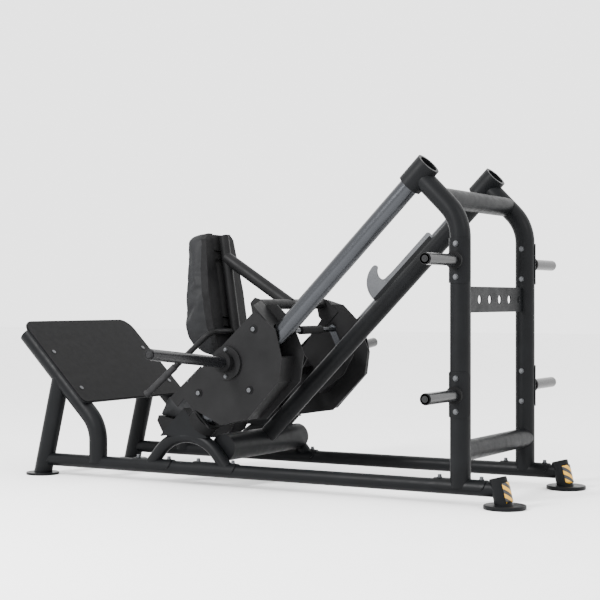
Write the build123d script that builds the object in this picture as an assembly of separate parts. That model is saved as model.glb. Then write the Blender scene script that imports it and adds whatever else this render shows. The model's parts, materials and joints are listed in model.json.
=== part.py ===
from build123d import *

import math
import os

# Plate-loaded 45 degree leg press: two inclined guide rails carry a sled with the seat, and the
# fixed footplate stands at the front. Millimetres. X runs from the footplate to the rear posts,
# Y across the machine (negative = near side) and Z up. The origin is on the floor, under the
# middle of the machine.

# ---- driving dimensions ----
FRAME_TUBE = 88.9
FRAME_WALL = 3.0
BASE_TUBE = 63.5
BASE_WALL = 3.0
RAIL_TUBE = 85.0
RAIL_WALL = 4.0
STRUT_TUBE = 82.5
HORN_DIA = 50.0
HALF_GAUGE = 373.0          # half the distance between the two guide rails
BASE_HEIGHT = 78.0          # axis height of the base rails
POST_X = 1050.0
RAIL_HEIGHT_AT_POST = 1599.0
SLOPE = math.radians(45)

# Rear posts and rail sockets
POST_BEND_HEIGHT = 1214.5
POST_BEND_RADIUS = 200.0
SOCKET_DIA = 112.0
SOCKET_START = -335.0       # along the rail, measured from the point above the post
SOCKET_END = -208.0
UPPER_CROSS_HEIGHT = 1304.0
LOWER_CROSS_HEIGHT = 228.0

# Perforated tie plate between the posts
TIE_HEIGHT = 871.0
TIE_DEPTH = 112.0
TIE_THICKNESS = 6.0
TIE_HOLE_DIA = 38.0
TIE_HOLE_PITCH = 114.0

# Storage pegs on the posts
PEG_HEIGHTS = (1036.0, 470.0)
PEG_TIP = 728.0
PEG_PLATE_HEIGHT = 190.0
PEG_PLATE_WRAP = 5.0
PEG_BOLT_SPACING = 140.0
PEG_COLLAR_DIA = 74.0
PEG_COLLAR_LENGTH = 14.0

# Feet
REAR_FOOT_X = 1250.0
REAR_FOOT_DIA = 180.0
FOOT_THICKNESS = 18.0
REAR_STUB_DIA = 76.1
REAR_STUB_HEIGHT = 105.0
REAR_STUB_LEAN = math.radians(14)
FRONT_FOOT_DIA = 164.0
FRONT_FOOT_THICKNESS = 12.0

# Footplate and its legs
LEG_FOOT_X = -1216.0
LEG_LEAN = math.radians(13.6)
CURVED_LEG_X = -868.0
CURVED_LEG_BEND_HEIGHT = 258.0
CURVED_LEG_BEND_RADIUS = 180.0
CURVED_LEG_TOP_X = -1308.6
FOOTPLATE_WIDTH = 872.0
FOOTPLATE_LENGTH = 555.0
FOOTPLATE_STEEL = 6.0
FOOTPLATE_MAT = 4.0
FOOTPLATE_TOP_RADIUS = 75.0
FOOTPLATE_BOTTOM_RADIUS = 30.0
FOOTPLATE_OVERHANG = 40.0   # how far the plate passes the upper end of the legs

# Arches, brackets and cross tube at the foot of the rails
ARCH_TUBE = 60.3
ARCH_FRONT_X = -560.0
ARCH_REAR_X = -112.0
ARCH_APEX_HEIGHT = 344.0    # where the two legs' axes would meet
ARCH_BEND_RADIUS = 208.0
CENTRE_TUBE_X = -160.0
CENTRE_TUBE_HEIGHT = 182.0
CENTRE_TUBE_DIA = 127.0
CENTRE_TUBE_REACH = 345.0
RAIL_FOOT = -1868.0         # along the rail: where its end plate is
END_PLATE_TOP = 112.0
END_PLATE_BOTTOM = -72.0
END_PLATE_WIDTH = 60.0
PLATE = 6.0
WEB_SPREAD = 30.0           # from the rail's plane to the outer face of each bracket web
BRACKET_REACH = 180.0       # how far the bracket runs on below the end plate
BUMPER_DIA = 138.0
STOP_GAP = 0.3

# Centre strut with the safety hook
STRUT_OFFSET = -145.0       # below the plane of the rails
HOOK_THICKNESS = 8.0
HOOK_THROAT = (-824.0, -41.0)
HOOK_THROAT_RADIUS = 22.0
HOOK_STRIP_END = -524.0
HOOK_STRIP_TOP = -66.0
HOOK_STRIP_BOTTOM = -101.0
KEEL_THICKNESS = 8.0
KEEL_TOP = -89.0
KEEL_RANGE = (-934.0, -532.0)

# Sled
OUTER_PLATE_Y = 434.0
INNER_PLATE_Y = 320.0
SLED_PLATE = 6.0
ROLLER_OFFSET = 90.0        # roller axis to rail axis
ROLLER_DIA = 104.0
ROLLER_WIDTH = 60.0
ROLLER_GAP = 0.3
UPPER_ROLLERS = (-1309.0, -1731.0)
LOWER_ROLLER = -1520.0
SLED_END = -1812.0          # lower end of the carriages, which rests on the bumpers
AXLE_DIA = 16.0
HORN_X = -82.0
HORN_BASE_HEIGHT = 581.0
HORN_TIP_Y = 1042.0
HORN_TILT = math.radians(5.5)
HORN_FLANGE_DIA = 155.0
HORN_FLANGE = 12.0
HORN_COLLAR_DIA = 92.0
HORN_COLLAR_LENGTH = 26.0
CROSS_TUBE_DIA = 48.3
CROSS_TUBE_X = 0.0
CROSS_TUBE_HEIGHT = 849.0
CROSS_TUBE_REACH = 308.0

# Seat, backrest and handles
BACK_TUBE_DIA = 48.3
BACK_TUBE_WALL = 3.0
BRACE_DIA = 60.3
HANDLE_DIA = 28.0
BACK_LEAN = math.radians(8.5)
BACK_TOP = 1212.0
BACK_BOTTOM = 585.0
BACK_REAR_X = -337.0        # rear face of the back shell, at the height of the handles
HANDLE_HEIGHT = 717.0
BACK_HALF_WIDTH = 170.0
BACK_SHELL = 40.0
BACK_FRONT = [(560.0, 40.0), (492.0, 88.0), (480.0, 100.0), (300.0, 130.0), (150.0, 148.0), (30.0, 160.0),
              (-20.0, 152.0), (-60.0, 128.0), (-100.0, 90.0), (-132.0, 50.0)]
BACK_GROOVE = 60.0          # half width of the channel down the back shell
SEAT_HALF_WIDTH = 190.0
SEAT_PROFILE = [(-589.0, 398.0), (-642.0, 304.0), (-410.0, 262.0), (-372.0, 352.0)]
SEAT_TRAY_PROFILE = [(-645.0, 292.0), (-651.0, 278.0), (-614.0, 214.0), (-470.0, 222.0), (-396.0, 256.0),
                     (-412.0, 261.5), (-642.0, 303.5)]
BEAM_DEPTH = (32.0, 92.0)
FRONT_BEAM = (-1790.0, -1730.0)
MID_BEAM = (-1590.0, -1530.0)
# Catch yoke
YOKE_PIVOT = (-1330.0, -83.0)
YOKE_RADIUS = 140.0
YOKE_REST_ANGLE = math.radians(70)
YOKE_ARM_Y = 215.0
YOKE_ARM = 8.0
YOKE_ROD_DIA = 25.0
YOKE_SLEEVE_DIA = 40.0
YOKE_SLEEVE_LENGTH = 195.0


# ---- geometry helpers ----
def on_slope(along, above, y):
    """World point for a position along the rails, a height square to them, and Y."""
    x = POST_X + along * math.cos(SLOPE) - above * math.sin(SLOPE)
    z = RAIL_HEIGHT_AT_POST + along * math.sin(SLOPE) + above * math.cos(SLOPE)
    return Vector(x, y, z)


def rod(start, end, diameter):
    """Solid round bar between two points."""
    start, end = Vector(start), Vector(end)
    axis = end - start
    face = Plane(origin=start, z_dir=axis) * Circle(diameter / 2)
    return extrude(face, amount=axis.length, dir=axis.normalized())


def pipe(start, end, diameter, wall):
    """Round tube between two points, open at both ends."""
    return rod(start, end, diameter) - rod(start, end, diameter - 2 * wall)


def bent(points, radius, diameter, wall=0.0):
    """Round tube or bar along straight runs with one bend radius."""
    path = FilletPolyline(*[Vector(p) for p in points], radius=radius)
    plane = Plane(origin=path @ 0, z_dir=path % 0)
    solid = sweep(plane * Circle(diameter / 2), path)
    if wall:
        solid = solid - sweep(plane * Circle(diameter / 2 - wall), path)
    return solid


def slab(outline, y_low, y_high):
    """Plate in the sled's side plane: outline in (along, above) between two Y values."""
    plane = Plane(origin=on_slope(0, 0, y_high), x_dir=(math.cos(SLOPE), 0, math.sin(SLOPE)),
                  z_dir=(0, -1, 0))
    face = make_face(Polyline(*outline, close=True))
    return extrude(plane * face, amount=y_high - y_low)


def slope_box(along, above, y):
    """Box square to the rails, from (low, high) pairs."""
    return slab([(along[0], above[0]), (along[1], above[0]), (along[1], above[1]),
                 (along[0], above[1])], y[0], y[1])


def profile(outline, y_low, y_high):
    """Plate or block in the machine's side plane: outline in (X, Z) between two Y values."""
    plane = Plane(origin=(0, y_high, 0), x_dir=(1, 0, 0), z_dir=(0, -1, 0))
    return extrude(plane * make_face(Polyline(*outline, close=True)), amount=y_high - y_low)


def box(x, y, z):
    """Upright box from (low, high) pairs."""
    centre = ((x[0] + x[1]) / 2, (y[0] + y[1]) / 2, (z[0] + z[1]) / 2)
    return Pos(*centre) * Box(x[1] - x[0], y[1] - y[0], z[1] - z[0])


def hex_bolt(point, direction, head=24.0, height=11.0, washer=34.0):
    """Domed bolt head on its washer, sitting on a face at the point."""
    direction = Vector(direction).normalized()
    base = Plane(origin=point, z_dir=direction)
    disc = extrude(base * Circle(washer / 2), amount=3)
    dome = extrude(base.offset(3) * Circle(head / 2), amount=height - 3)
    rounding = min(3.0, 0.6 * (height - 3))
    dome = fillet(dome.edges().filter_by(GeomType.CIRCLE).sort_by_distance(point)[-1], rounding)
    return disc + dome


def group(pieces):
    """Separate solids kept in one node."""
    return Compound(children=list(pieces))


SIDES = {"near": -1, "far": 1}


# ---- solid bodies of the tubes, used to cope the tubes that meet them ----
def lean_point(foot_x, angle, height, y):
    return Vector(foot_x + height * math.tan(angle), y, height)


def leg_top_height():
    """Height where the leaning leg's axis meets the curved leg's inclined run."""
    incline = CURVED_LEG_X + CURVED_LEG_BEND_HEIGHT
    return (incline - LEG_FOOT_X) / (1 + math.tan(LEG_LEAN))


def leaning_leg_core(y, low, high):
    return rod(lean_point(LEG_FOOT_X, LEG_LEAN, low, y), lean_point(LEG_FOOT_X, LEG_LEAN, high, y),
               FRAME_TUBE)


def curved_leg_points(y):
    incline = CURVED_LEG_X + CURVED_LEG_BEND_HEIGHT
    return [(CURVED_LEG_X, y, BASE_HEIGHT), (CURVED_LEG_X, y, CURVED_LEG_BEND_HEIGHT),
            (CURVED_LEG_TOP_X, y, incline - CURVED_LEG_TOP_X)]


def stub_core(y, low, high):
    foot = REAR_FOOT_X
    return rod(lean_point(foot, -REAR_STUB_LEAN, low, y), lean_point(foot, -REAR_STUB_LEAN, high, y),
               REAR_STUB_DIA)


def base_core(y):
    return rod((LEG_FOOT_X + BASE_HEIGHT * math.tan(LEG_LEAN), y, BASE_HEIGHT),
               (REAR_FOOT_X - BASE_HEIGHT * math.tan(REAR_STUB_LEAN), y, BASE_HEIGHT), BASE_TUBE)


def post_points(y):
    end = on_slope((SOCKET_START + SOCKET_END) / 2, 0, y)
    return [(POST_X, y, BASE_HEIGHT), (POST_X, y, POST_BEND_HEIGHT), end]


def socket_core(y, diameter=SOCKET_DIA):
    return rod(on_slope(SOCKET_START, 0, y), on_slope(SOCKET_END, 0, y), diameter)


def upper_cross_x():
    return POST_X + POST_BEND_HEIGHT - UPPER_CROSS_HEIGHT


# ---- frame ----
def base_rail(y):
    tube = base_core(y)
    tube -= rod((LEG_FOOT_X, y, BASE_HEIGHT), (REAR_FOOT_X, y, BASE_HEIGHT), BASE_TUBE - 2 * BASE_WALL)
    tube -= leaning_leg_core(y, 0, 200)
    tube -= stub_core(y, 0, 200)
    return max(tube.solids(), key=lambda piece: piece.volume)


def rear_post(y):
    post = bent(post_points(y), POST_BEND_RADIUS, FRAME_TUBE, FRAME_WALL)
    post -= saddle_core(y)
    post -= socket_core(y)
    return max(post.solids(), key=lambda piece: piece.volume)


def rail_socket(y):
    ring = socket_core(y) - rod(on_slope(SOCKET_START - 5, 0, y), on_slope(SOCKET_END + 5, 0, y),
                                RAIL_TUBE)
    return ring


def guide_rail(y):
    return pipe(on_slope(RAIL_FOOT + PLATE, 0, y), on_slope(SOCKET_END - 35, 0, y), RAIL_TUBE, RAIL_WALL)


def cross_tube(x, z, cutters):
    reach = HALF_GAUGE
    tube = pipe((x, -reach, z), (x, reach, z), FRAME_TUBE, FRAME_WALL)
    for cutter in cutters:
        tube -= cutter
    return max(tube.solids(), key=lambda piece: piece.volume)


def post_cores():
    return [bent(post_points(side * HALF_GAUGE), POST_BEND_RADIUS, FRAME_TUBE) for side in (-1, 1)]


def tie_plate():
    plate = box((POST_X - TIE_THICKNESS / 2, POST_X + TIE_THICKNESS / 2), (-HALF_GAUGE, HALF_GAUGE),
                (TIE_HEIGHT - TIE_DEPTH / 2, TIE_HEIGHT + TIE_DEPTH / 2))
    for core in post_cores():
        plate -= core
    plate = max(plate.solids(), key=lambda piece: piece.volume)
    for step in (-2.5, -1.5, -0.5, 0.5, 1.5, 2.5):
        y = step * TIE_HOLE_PITCH
        plate -= rod((POST_X - 20, y, TIE_HEIGHT), (POST_X + 20, y, TIE_HEIGHT), TIE_HOLE_DIA)
    return plate


# ---- saddles: curved plates bolted on the base rails ----
SADDLE_WALL = 5.0
SADDLE_PLACES = {"post": (POST_X, 240.0), "arch_front": (-537.0, 226.0), "arch_rear": (-185.0, 240.0)}


def saddle(centre_x, length, y):
    """Half shell over a base rail with rounded ends."""
    start, end = (centre_x - length / 2, y, BASE_HEIGHT), (centre_x + length / 2, y, BASE_HEIGHT)
    shell = rod(start, end, BASE_TUBE + 2 * SADDLE_WALL) - rod(start, end, BASE_TUBE)
    keep = box((centre_x - length / 2, centre_x + length / 2), (y - 60, y + 60),
               (BASE_HEIGHT - 6, BASE_HEIGHT + 60))
    keep = fillet(keep.edges().filter_by(Axis.Y).group_by(Axis.Z)[0], 30)
    return max((shell & keep).solids(), key=lambda piece: piece.volume)


def saddle_core(y):
    """Everything at or under the outer face of the saddles."""
    return rod((LEG_FOOT_X, y, BASE_HEIGHT), (REAR_FOOT_X, y, BASE_HEIGHT), BASE_TUBE + 2 * SADDLE_WALL)


def saddles(y):
    return [saddle(x, length, y) for x, length in SADDLE_PLACES.values()]


def saddle_bolts(y):
    """Cap screws through each end of each saddle."""
    top = BASE_HEIGHT + BASE_TUBE / 2 + SADDLE_WALL - 0.5
    pieces = []
    for centre_x, length in SADDLE_PLACES.values():
        for end in (-1, 1):
            x = centre_x + end * (length / 2 - 24)
            pieces.append(hex_bolt((x, y, top + 0.6), (0, 0, 1), head=17, height=14, washer=22))
    return pieces


# ---- storage pegs ----
def storage_peg(side, height):
    """Peg, collar and the plate that wraps the outer half of the post."""
    y_axis = side * HALF_GAUGE
    radius = FRAME_TUBE / 2
    z_range = (height - PEG_PLATE_HEIGHT / 2, height + PEG_PLATE_HEIGHT / 2)
    shell = Pos(POST_X, y_axis, height) * (Cylinder(radius + PEG_PLATE_WRAP, PEG_PLATE_HEIGHT)
                                           - Cylinder(radius, PEG_PLATE_HEIGHT + 2))
    low_y, high_y = sorted((y_axis + side * 8, y_axis + side * 80))
    keep = box((POST_X - 80, POST_X + 80), (low_y, high_y), z_range)
    keep = fillet(keep.edges().filter_by(Axis.X), 22)
    wrap = shell & keep
    root = y_axis + side * (radius + 1)
    tip = side * PEG_TIP
    peg = rod((POST_X, root, height), (POST_X, tip - side * 6, height), HORN_DIA)
    nose = rod((POST_X, tip - side * 6, height), (POST_X, tip, height), HORN_DIA - 6)
    collar_start = y_axis + side * (radius + PEG_PLATE_WRAP + 12)
    collar = rod((POST_X, collar_start, height),
                 (POST_X, collar_start + side * PEG_COLLAR_LENGTH, height), PEG_COLLAR_DIA)
    return wrap + peg + nose + collar


def peg_bolts():
    """Bolt heads above and below each peg, and their nuts on the inner side of the post."""
    pieces = []
    for side in (-1, 1):
        for height in PEG_HEIGHTS:
            for step in (-0.5, 0.5):
                z = height + step * PEG_BOLT_SPACING
                outer = side * (HALF_GAUGE + FRAME_TUBE / 2 + PEG_PLATE_WRAP)
                inner = side * (HALF_GAUGE - FRAME_TUBE / 2)
                pieces.append(hex_bolt((POST_X, outer, z), (0, side, 0), head=19, height=9, washer=24))
                pieces.append(hex_bolt((POST_X, inner, z), (0, -side, 0), head=19, height=9, washer=24))
    return pieces


# ---- feet ----
def rear_foot(y):
    disc = Pos(REAR_FOOT_X, y, FOOT_THICKNESS / 2) * Cylinder(REAR_FOOT_DIA / 2, FOOT_THICKNESS)
    return fillet(disc.edges().filter_by(GeomType.CIRCLE), 4)


def rear_stub(y):
    """Short leaning tube from the rubber foot, closed at its top."""
    foot = REAR_FOOT_X
    tube = stub_core(y, -10, REAR_STUB_HEIGHT + FOOT_THICKNESS)
    tube -= box((foot - 200, foot + 200), (y - 100, y + 100), (-60, FOOT_THICKNESS))
    return tube


def stub_cap(y):
    base = lean_point(REAR_FOOT_X, -REAR_STUB_LEAN, REAR_STUB_HEIGHT + FOOT_THICKNESS, y)
    axis = Vector(-math.sin(REAR_STUB_LEAN), 0, math.cos(REAR_STUB_LEAN))
    cap = extrude(Plane(origin=base, z_dir=axis) * Circle(REAR_STUB_DIA / 2 - 1), amount=6)
    return fillet(cap.edges().filter_by(GeomType.CIRCLE).sort_by(Axis.Z)[-1], 4)


def front_foot(y):
    disc = Pos(LEG_FOOT_X, y, FRONT_FOOT_THICKNESS / 2) * Cylinder(FRONT_FOOT_DIA / 2,
                                                                   FRONT_FOOT_THICKNESS)
    return fillet(disc.edges().filter_by(GeomType.CIRCLE), 4)


# ---- footplate and legs ----
def leaning_leg(y):
    core = leaning_leg_core(y, -20, leg_top_height())
    axis_low = lean_point(LEG_FOOT_X, LEG_LEAN, -20, y)
    axis_high = lean_point(LEG_FOOT_X, LEG_LEAN, leg_top_height() + 40, y)
    leg = core - rod(axis_low, axis_high, FRAME_TUBE - 2 * FRAME_WALL)
    leg -= box((LEG_FOOT_X - 200, LEG_FOOT_X + 200), (y - 100, y + 100), (-100, FRONT_FOOT_THICKNESS))
    leg -= bent(curved_leg_points(y), CURVED_LEG_BEND_RADIUS, FRAME_TUBE)
    return max(leg.solids(), key=lambda piece: piece.volume)


def curved_leg(y):
    leg = bent(curved_leg_points(y), CURVED_LEG_BEND_RADIUS, FRAME_TUBE, FRAME_WALL)
    leg -= base_core(y)
    return max(leg.solids(), key=lambda piece: piece.volume)


def footplate_plane(offset):
    """Plane parallel to the footplate: origin at the upper edge's middle, X across, Y up the plate."""
    up = Vector(-math.cos(SLOPE), 0, math.sin(SLOPE))
    facing = Vector(math.cos(SLOPE), 0, math.sin(SLOPE))
    end = Vector(curved_leg_points(0)[2]) + up * (FOOTPLATE_OVERHANG - FOOTPLATE_LENGTH / 2)
    origin = end + facing * (FRAME_TUBE / 2 + offset)
    return Plane(origin=origin, x_dir=(0, 1, 0), z_dir=facing)


def footplate_sheet(offset, thickness, inset):
    width, length = FOOTPLATE_WIDTH - 2 * inset, FOOTPLATE_LENGTH - 2 * inset
    sheet = Box(width, length, thickness, align=(Align.CENTER, Align.CENTER, Align.MIN))
    high = sheet.edges().filter_by(Axis.Z).sort_by(Axis.Y)[2:]
    sheet = fillet(high, FOOTPLATE_TOP_RADIUS - inset)
    low = sheet.edges().filter_by(Axis.Z).sort_by(Axis.Y)[:2]
    sheet = fillet(low, FOOTPLATE_BOTTOM_RADIUS)
    return footplate_plane(offset) * sheet


def footplate():
    return footplate_sheet(0.0, FOOTPLATE_STEEL, 0.0)


def footplate_mat():
    return footplate_sheet(FOOTPLATE_STEEL, FOOTPLATE_MAT, 4.0)


def footplate_screws():
    """Flat screw heads over both legs, near the plate's upper and lower edges."""
    plane = footplate_plane(FOOTPLATE_STEEL + FOOTPLATE_MAT)
    pieces = []
    for side in (-1, 1):
        for up in (-185.0, 60.0):
            pieces.append(plane * Pos(side * HALF_GAUGE, up, 0) * Cylinder(
                11, 2.5, align=(Align.CENTER, Align.CENTER, Align.MIN)))
    return pieces


# ---- foot of the rails ----
def arch_points(y):
    middle = (ARCH_FRONT_X + ARCH_REAR_X) / 2
    return [(ARCH_FRONT_X, y, BASE_HEIGHT), (middle, y, ARCH_APEX_HEIGHT), (ARCH_REAR_X, y, BASE_HEIGHT)]


def arch(y):
    tube = bent(arch_points(y), ARCH_BEND_RADIUS, ARCH_TUBE, FRAME_WALL)
    tube -= saddle_core(y)
    return max(tube.solids(), key=lambda piece: piece.volume)


def centre_tube_core():
    return rod((CENTRE_TUBE_X, -CENTRE_TUBE_REACH, CENTRE_TUBE_HEIGHT),
               (CENTRE_TUBE_X, CENTRE_TUBE_REACH, CENTRE_TUBE_HEIGHT), CENTRE_TUBE_DIA)


def centre_tube():
    """Large cross tube, closed at both ends, that ties the arches and carries the strut."""
    inner = CENTRE_TUBE_REACH - PLATE
    tube = centre_tube_core() - rod((CENTRE_TUBE_X, -inner, CENTRE_TUBE_HEIGHT),
                                    (CENTRE_TUBE_X, inner, CENTRE_TUBE_HEIGHT),
                                    CENTRE_TUBE_DIA - 8)
    for side in (-1, 1):
        tube -= bent(arch_points(side * HALF_GAUGE), ARCH_BEND_RADIUS, ARCH_TUBE)
    return max(tube.solids(), key=lambda piece: piece.volume)


def rail_bracket(y):
    """End plate square to the rail on two webs, standing on the arch's crown."""
    top, low = END_PLATE_TOP, END_PLATE_BOTTOM
    end_plate = slope_box((RAIL_FOOT, RAIL_FOOT + PLATE), (low, top),
                          (y - END_PLATE_WIDTH / 2, y + END_PLATE_WIDTH / 2))
    bracket = end_plate
    reach = RAIL_FOOT - BRACKET_REACH
    for offset in (-WEB_SPREAD, WEB_SPREAD - PLATE):
        bracket += slab([(RAIL_FOOT, low), (RAIL_FOOT, top), (reach, top)], y + offset, y + offset + PLATE)
    bracket += slope_box((reach, RAIL_FOOT), (top - PLATE, top), (y - WEB_SPREAD, y + WEB_SPREAD))
    bracket -= bent(arch_points(y), ARCH_BEND_RADIUS, ARCH_TUBE)
    return max(bracket.solids(), key=lambda piece: piece.volume)


def bumper(y):
    """Rubber ring round the rail that the sled comes down on."""
    low, high = RAIL_FOOT + PLATE, SLED_END - STOP_GAP
    ring = rod(on_slope(low, 0, y), on_slope(high, 0, y), BUMPER_DIA)
    return ring - rod(on_slope(low - 1, 0, y), on_slope(high + 1, 0, y), RAIL_TUBE)


# ---- centre strut and safety hook ----
def strut():
    low = (CENTRE_TUBE_X - POST_X) / math.cos(SLOPE) + STRUT_OFFSET
    high = (upper_cross_x() - POST_X) / math.cos(SLOPE) + STRUT_OFFSET
    tube = pipe(on_slope(low, STRUT_OFFSET, 0), on_slope(high, STRUT_OFFSET, 0), STRUT_TUBE, FRAME_WALL)
    tube -= centre_tube_core()
    tube -= rod((upper_cross_x(), -200, UPPER_CROSS_HEIGHT), (upper_cross_x(), 200, UPPER_CROSS_HEIGHT),
                FRAME_TUBE)
    return max(tube.solids(), key=lambda piece: piece.volume)


def strut_core():
    return rod(on_slope(-1800, STRUT_OFFSET, 0), on_slope(-330, STRUT_OFFSET, 0), STRUT_TUBE)


def strut_keel():
    """Flat bar welded along the strut that the hook is bolted to."""
    bar = slope_box(KEEL_RANGE, (STRUT_OFFSET, KEEL_TOP),
                    (-HOOK_THICKNESS / 2 - KEEL_THICKNESS, -HOOK_THICKNESS / 2))
    return max((bar - strut_core()).solids(), key=lambda piece: piece.volume)


def safety_hook():
    """Plate hook: a throat open up the slope, and a rounded back that lifts the rod over."""
    along, above = HOOK_THROAT
    r = HOOK_THROAT_RADIUS
    face = Plane(origin=on_slope(0, 0, HOOK_THICKNESS / 2),
                 x_dir=(math.cos(SLOPE), 0, math.sin(SLOPE)), z_dir=(0, -1, 0))
    floor = above - r
    edges = [
        Line((along, floor), (along + 40, HOOK_STRIP_TOP)),
        Line((along + 40, HOOK_STRIP_TOP), (HOOK_STRIP_END - 12, HOOK_STRIP_TOP)),
        ThreePointArc((HOOK_STRIP_END - 12, HOOK_STRIP_TOP),
                      (HOOK_STRIP_END - 3.5, HOOK_STRIP_TOP - 3.5), (HOOK_STRIP_END, HOOK_STRIP_TOP - 12)),
        Line((HOOK_STRIP_END, HOOK_STRIP_TOP - 12), (HOOK_STRIP_END, HOOK_STRIP_BOTTOM)),
        Line((HOOK_STRIP_END, HOOK_STRIP_BOTTOM), (along - 113, HOOK_STRIP_BOTTOM)),
        ThreePointArc((along - 113, HOOK_STRIP_BOTTOM), (along - 84, 34 + above), (along - 6, above + 63)),
        ThreePointArc((along - 6, above + 63), (along + 6, above + 52), (along + 2, above + 40)),
        ThreePointArc((along + 2, above + 40), (along - 17, above + 22), (along - r, above)),
        ThreePointArc((along - r, above), (along - r * 0.7071, above - r * 0.7071), (along, floor)),
    ]
    outline = make_face(Wire(edges))
    return extrude(face * outline, amount=HOOK_THICKNESS)


def hook_bolts():
    """Heads of the three bolts through the hook and the keel."""
    pieces = []
    for along in (-880.0, -730.0, -560.0):
        pieces.append(hex_bolt(on_slope(along, -95.5, HOOK_THICKNESS / 2), (0, 1, 0), head=9, height=7,
                               washer=10.5))
    return pieces


# ---- sled carriages ----
STRIP_OUTLINE = [(-1868, 130), (-1868, 188), (-1800, 184), (-1640, 174), (-1640, 134), (-1800, 130)]
OUTER_OUTLINE = [(-1246, 146), (-1230, 6), (-1295, -102), (-1383, -169), (-1626, -175), (-1748, -96),
                 (-1786, 5), (-1810, 70), (-1808, 168)]
INNER_OUTLINE = [(-1240, 176), (-1192, 128), (-1189, 26), (-1246, -125), (-1350, -202), (-1603, -203),
                 (-1752, -92), (-1790, 5), (-1810, 70), (-1808, 150), (-1480, 140)]


def roller_places():
    """(along, above) of each roller axis: two over the rail and one under it."""
    upper = [(along, ROLLER_OFFSET) for along in UPPER_ROLLERS]
    return upper + [(LOWER_ROLLER, -ROLLER_OFFSET)]


def across(side, inner, outer):
    """Low and high Y of something between two distances from the machine's middle."""
    return tuple(sorted((side * inner, side * outer)))


def axle_holes(side):
    bars = None
    for along, above in roller_places():
        bar = rod(on_slope(along, above, side * 250), on_slope(along, above, side * 500), AXLE_DIA)
        bars = bar if bars is None else bars + bar
    return bars


def outer_carriage(side):
    """Outer side plate with folded lower edges, an end flange and a bolted strip along its top."""
    face_y = across(side, OUTER_PLATE_Y - SLED_PLATE, OUTER_PLATE_Y)
    fold_y = across(side, INNER_PLATE_Y, OUTER_PLATE_Y - SLED_PLATE)
    plate = slab(OUTER_OUTLINE, *face_y)
    sheet = offset(make_face(Polyline(*OUTER_OUTLINE, close=True)), -SLED_PLATE, kind=Kind.INTERSECTION)
    plane = Plane(origin=on_slope(0, 0, fold_y[1] + 1), x_dir=(math.cos(SLOPE), 0, math.sin(SLOPE)),
                  z_dir=(0, -1, 0))
    hollow = extrude(plane * sheet, amount=fold_y[1] - fold_y[0] + 2)
    folds = slab(OUTER_OUTLINE, *fold_y) - hollow
    folds -= slope_box((-1297, -1100), (-103, 300), fold_y)
    folds -= rail_passage(side)
    strip = slab(STRIP_OUTLINE, *across(side, OUTER_PLATE_Y - 12, OUTER_PLATE_Y - SLED_PLATE))
    return plate + folds + strip - axle_holes(side)


def end_flange(side):
    """Flange square to the rail at the carriage's upper end, higher on its inner side."""
    outline = [(OUTER_PLATE_Y - SLED_PLATE, 4), (OUTER_PLATE_Y - SLED_PLATE, 170),
               (INNER_PLATE_Y, 205), (INNER_PLATE_Y, 60)]
    plane = Plane(origin=on_slope(-1242, 0, 0), x_dir=(0, -1, 0),
                  z_dir=(-math.cos(SLOPE), 0, -math.sin(SLOPE)))
    face = make_face(Polyline(*[(-side * y, above) for y, above in outline], close=True))
    return extrude(plane * face, amount=-SLED_PLATE) - rail_passage(side)


def rail_passage(side):
    """Clear way for the rail, and for the bumper at the lower end."""
    y = side * HALF_GAUGE
    way = rod(on_slope(-2000, 0, y), on_slope(-1000, 0, y), RAIL_TUBE + 12)
    return way


def inner_carriage(side):
    """Inner side plate."""
    plate = slab(INNER_OUTLINE, *across(side, INNER_PLATE_Y - SLED_PLATE, INNER_PLATE_Y))
    return plate - axle_holes(side)


def stop_plate(side):
    """Plate square to the rail at the carriage's lower end, which lands on the bumper."""
    plate = slope_box((SLED_END, SLED_END + SLED_PLATE), (-60, 68), across(side, INNER_PLATE_Y,
                                                                           OUTER_PLATE_Y - SLED_PLATE))
    plate -= rail_passage(side)
    return plate - outer_carriage(side)


def roller(side, along, above):
    """Grooved roller that runs on the rail."""
    y = side * HALF_GAUGE
    half = ROLLER_WIDTH / 2
    wheel = rod(on_slope(along, above, y - half), on_slope(along, above, y + half), ROLLER_DIA)
    groove_radius = RAIL_TUBE / 2 + ROLLER_GAP
    toward = math.copysign(ROLLER_OFFSET, -above)
    ring = Plane(origin=on_slope(along, above + toward, y), x_dir=(0, 1, 0),
                 z_dir=(math.cos(SLOPE), 0, math.sin(SLOPE))) * Circle(groove_radius)
    axis = Axis(on_slope(along, above, y), (0, 1, 0))
    wheel -= revolve(ring, axis, 360)
    bore = rod(on_slope(along, above, y - 60), on_slope(along, above, y + 60), AXLE_DIA + 0.1)
    return wheel - bore


def roller_axle(side, along, above):
    """Axle through both plates, with a black washer and bolt head outside and a nut inside."""
    bar = rod(on_slope(along, above, side * (INNER_PLATE_Y - SLED_PLATE - 4)),
              on_slope(along, above, side * (OUTER_PLATE_Y + 2)), AXLE_DIA)
    head = hex_bolt(on_slope(along, above, side * OUTER_PLATE_Y), (0, side, 0), head=22, height=11,
                    washer=38)
    nut = hex_bolt(on_slope(along, above, side * (INNER_PLATE_Y - SLED_PLATE)), (0, -side, 0), head=22,
                   height=11, washer=38)
    return bar + head + nut


def axle_spacers(side, along, above):
    """Sleeves that keep the roller between the plates."""
    half = ROLLER_WIDTH / 2 + 0.5
    pieces = []
    for low, high in ((INNER_PLATE_Y, HALF_GAUGE - half), (HALF_GAUGE + half, OUTER_PLATE_Y - SLED_PLATE)):
        sleeve = rod(on_slope(along, above, side * low), on_slope(along, above, side * high), 30)
        sleeve -= rod(on_slope(along, above, side * (low - 1)), on_slope(along, above, side * (high + 1)),
                      AXLE_DIA)
        pieces.append(sleeve)
    return pieces


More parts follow.
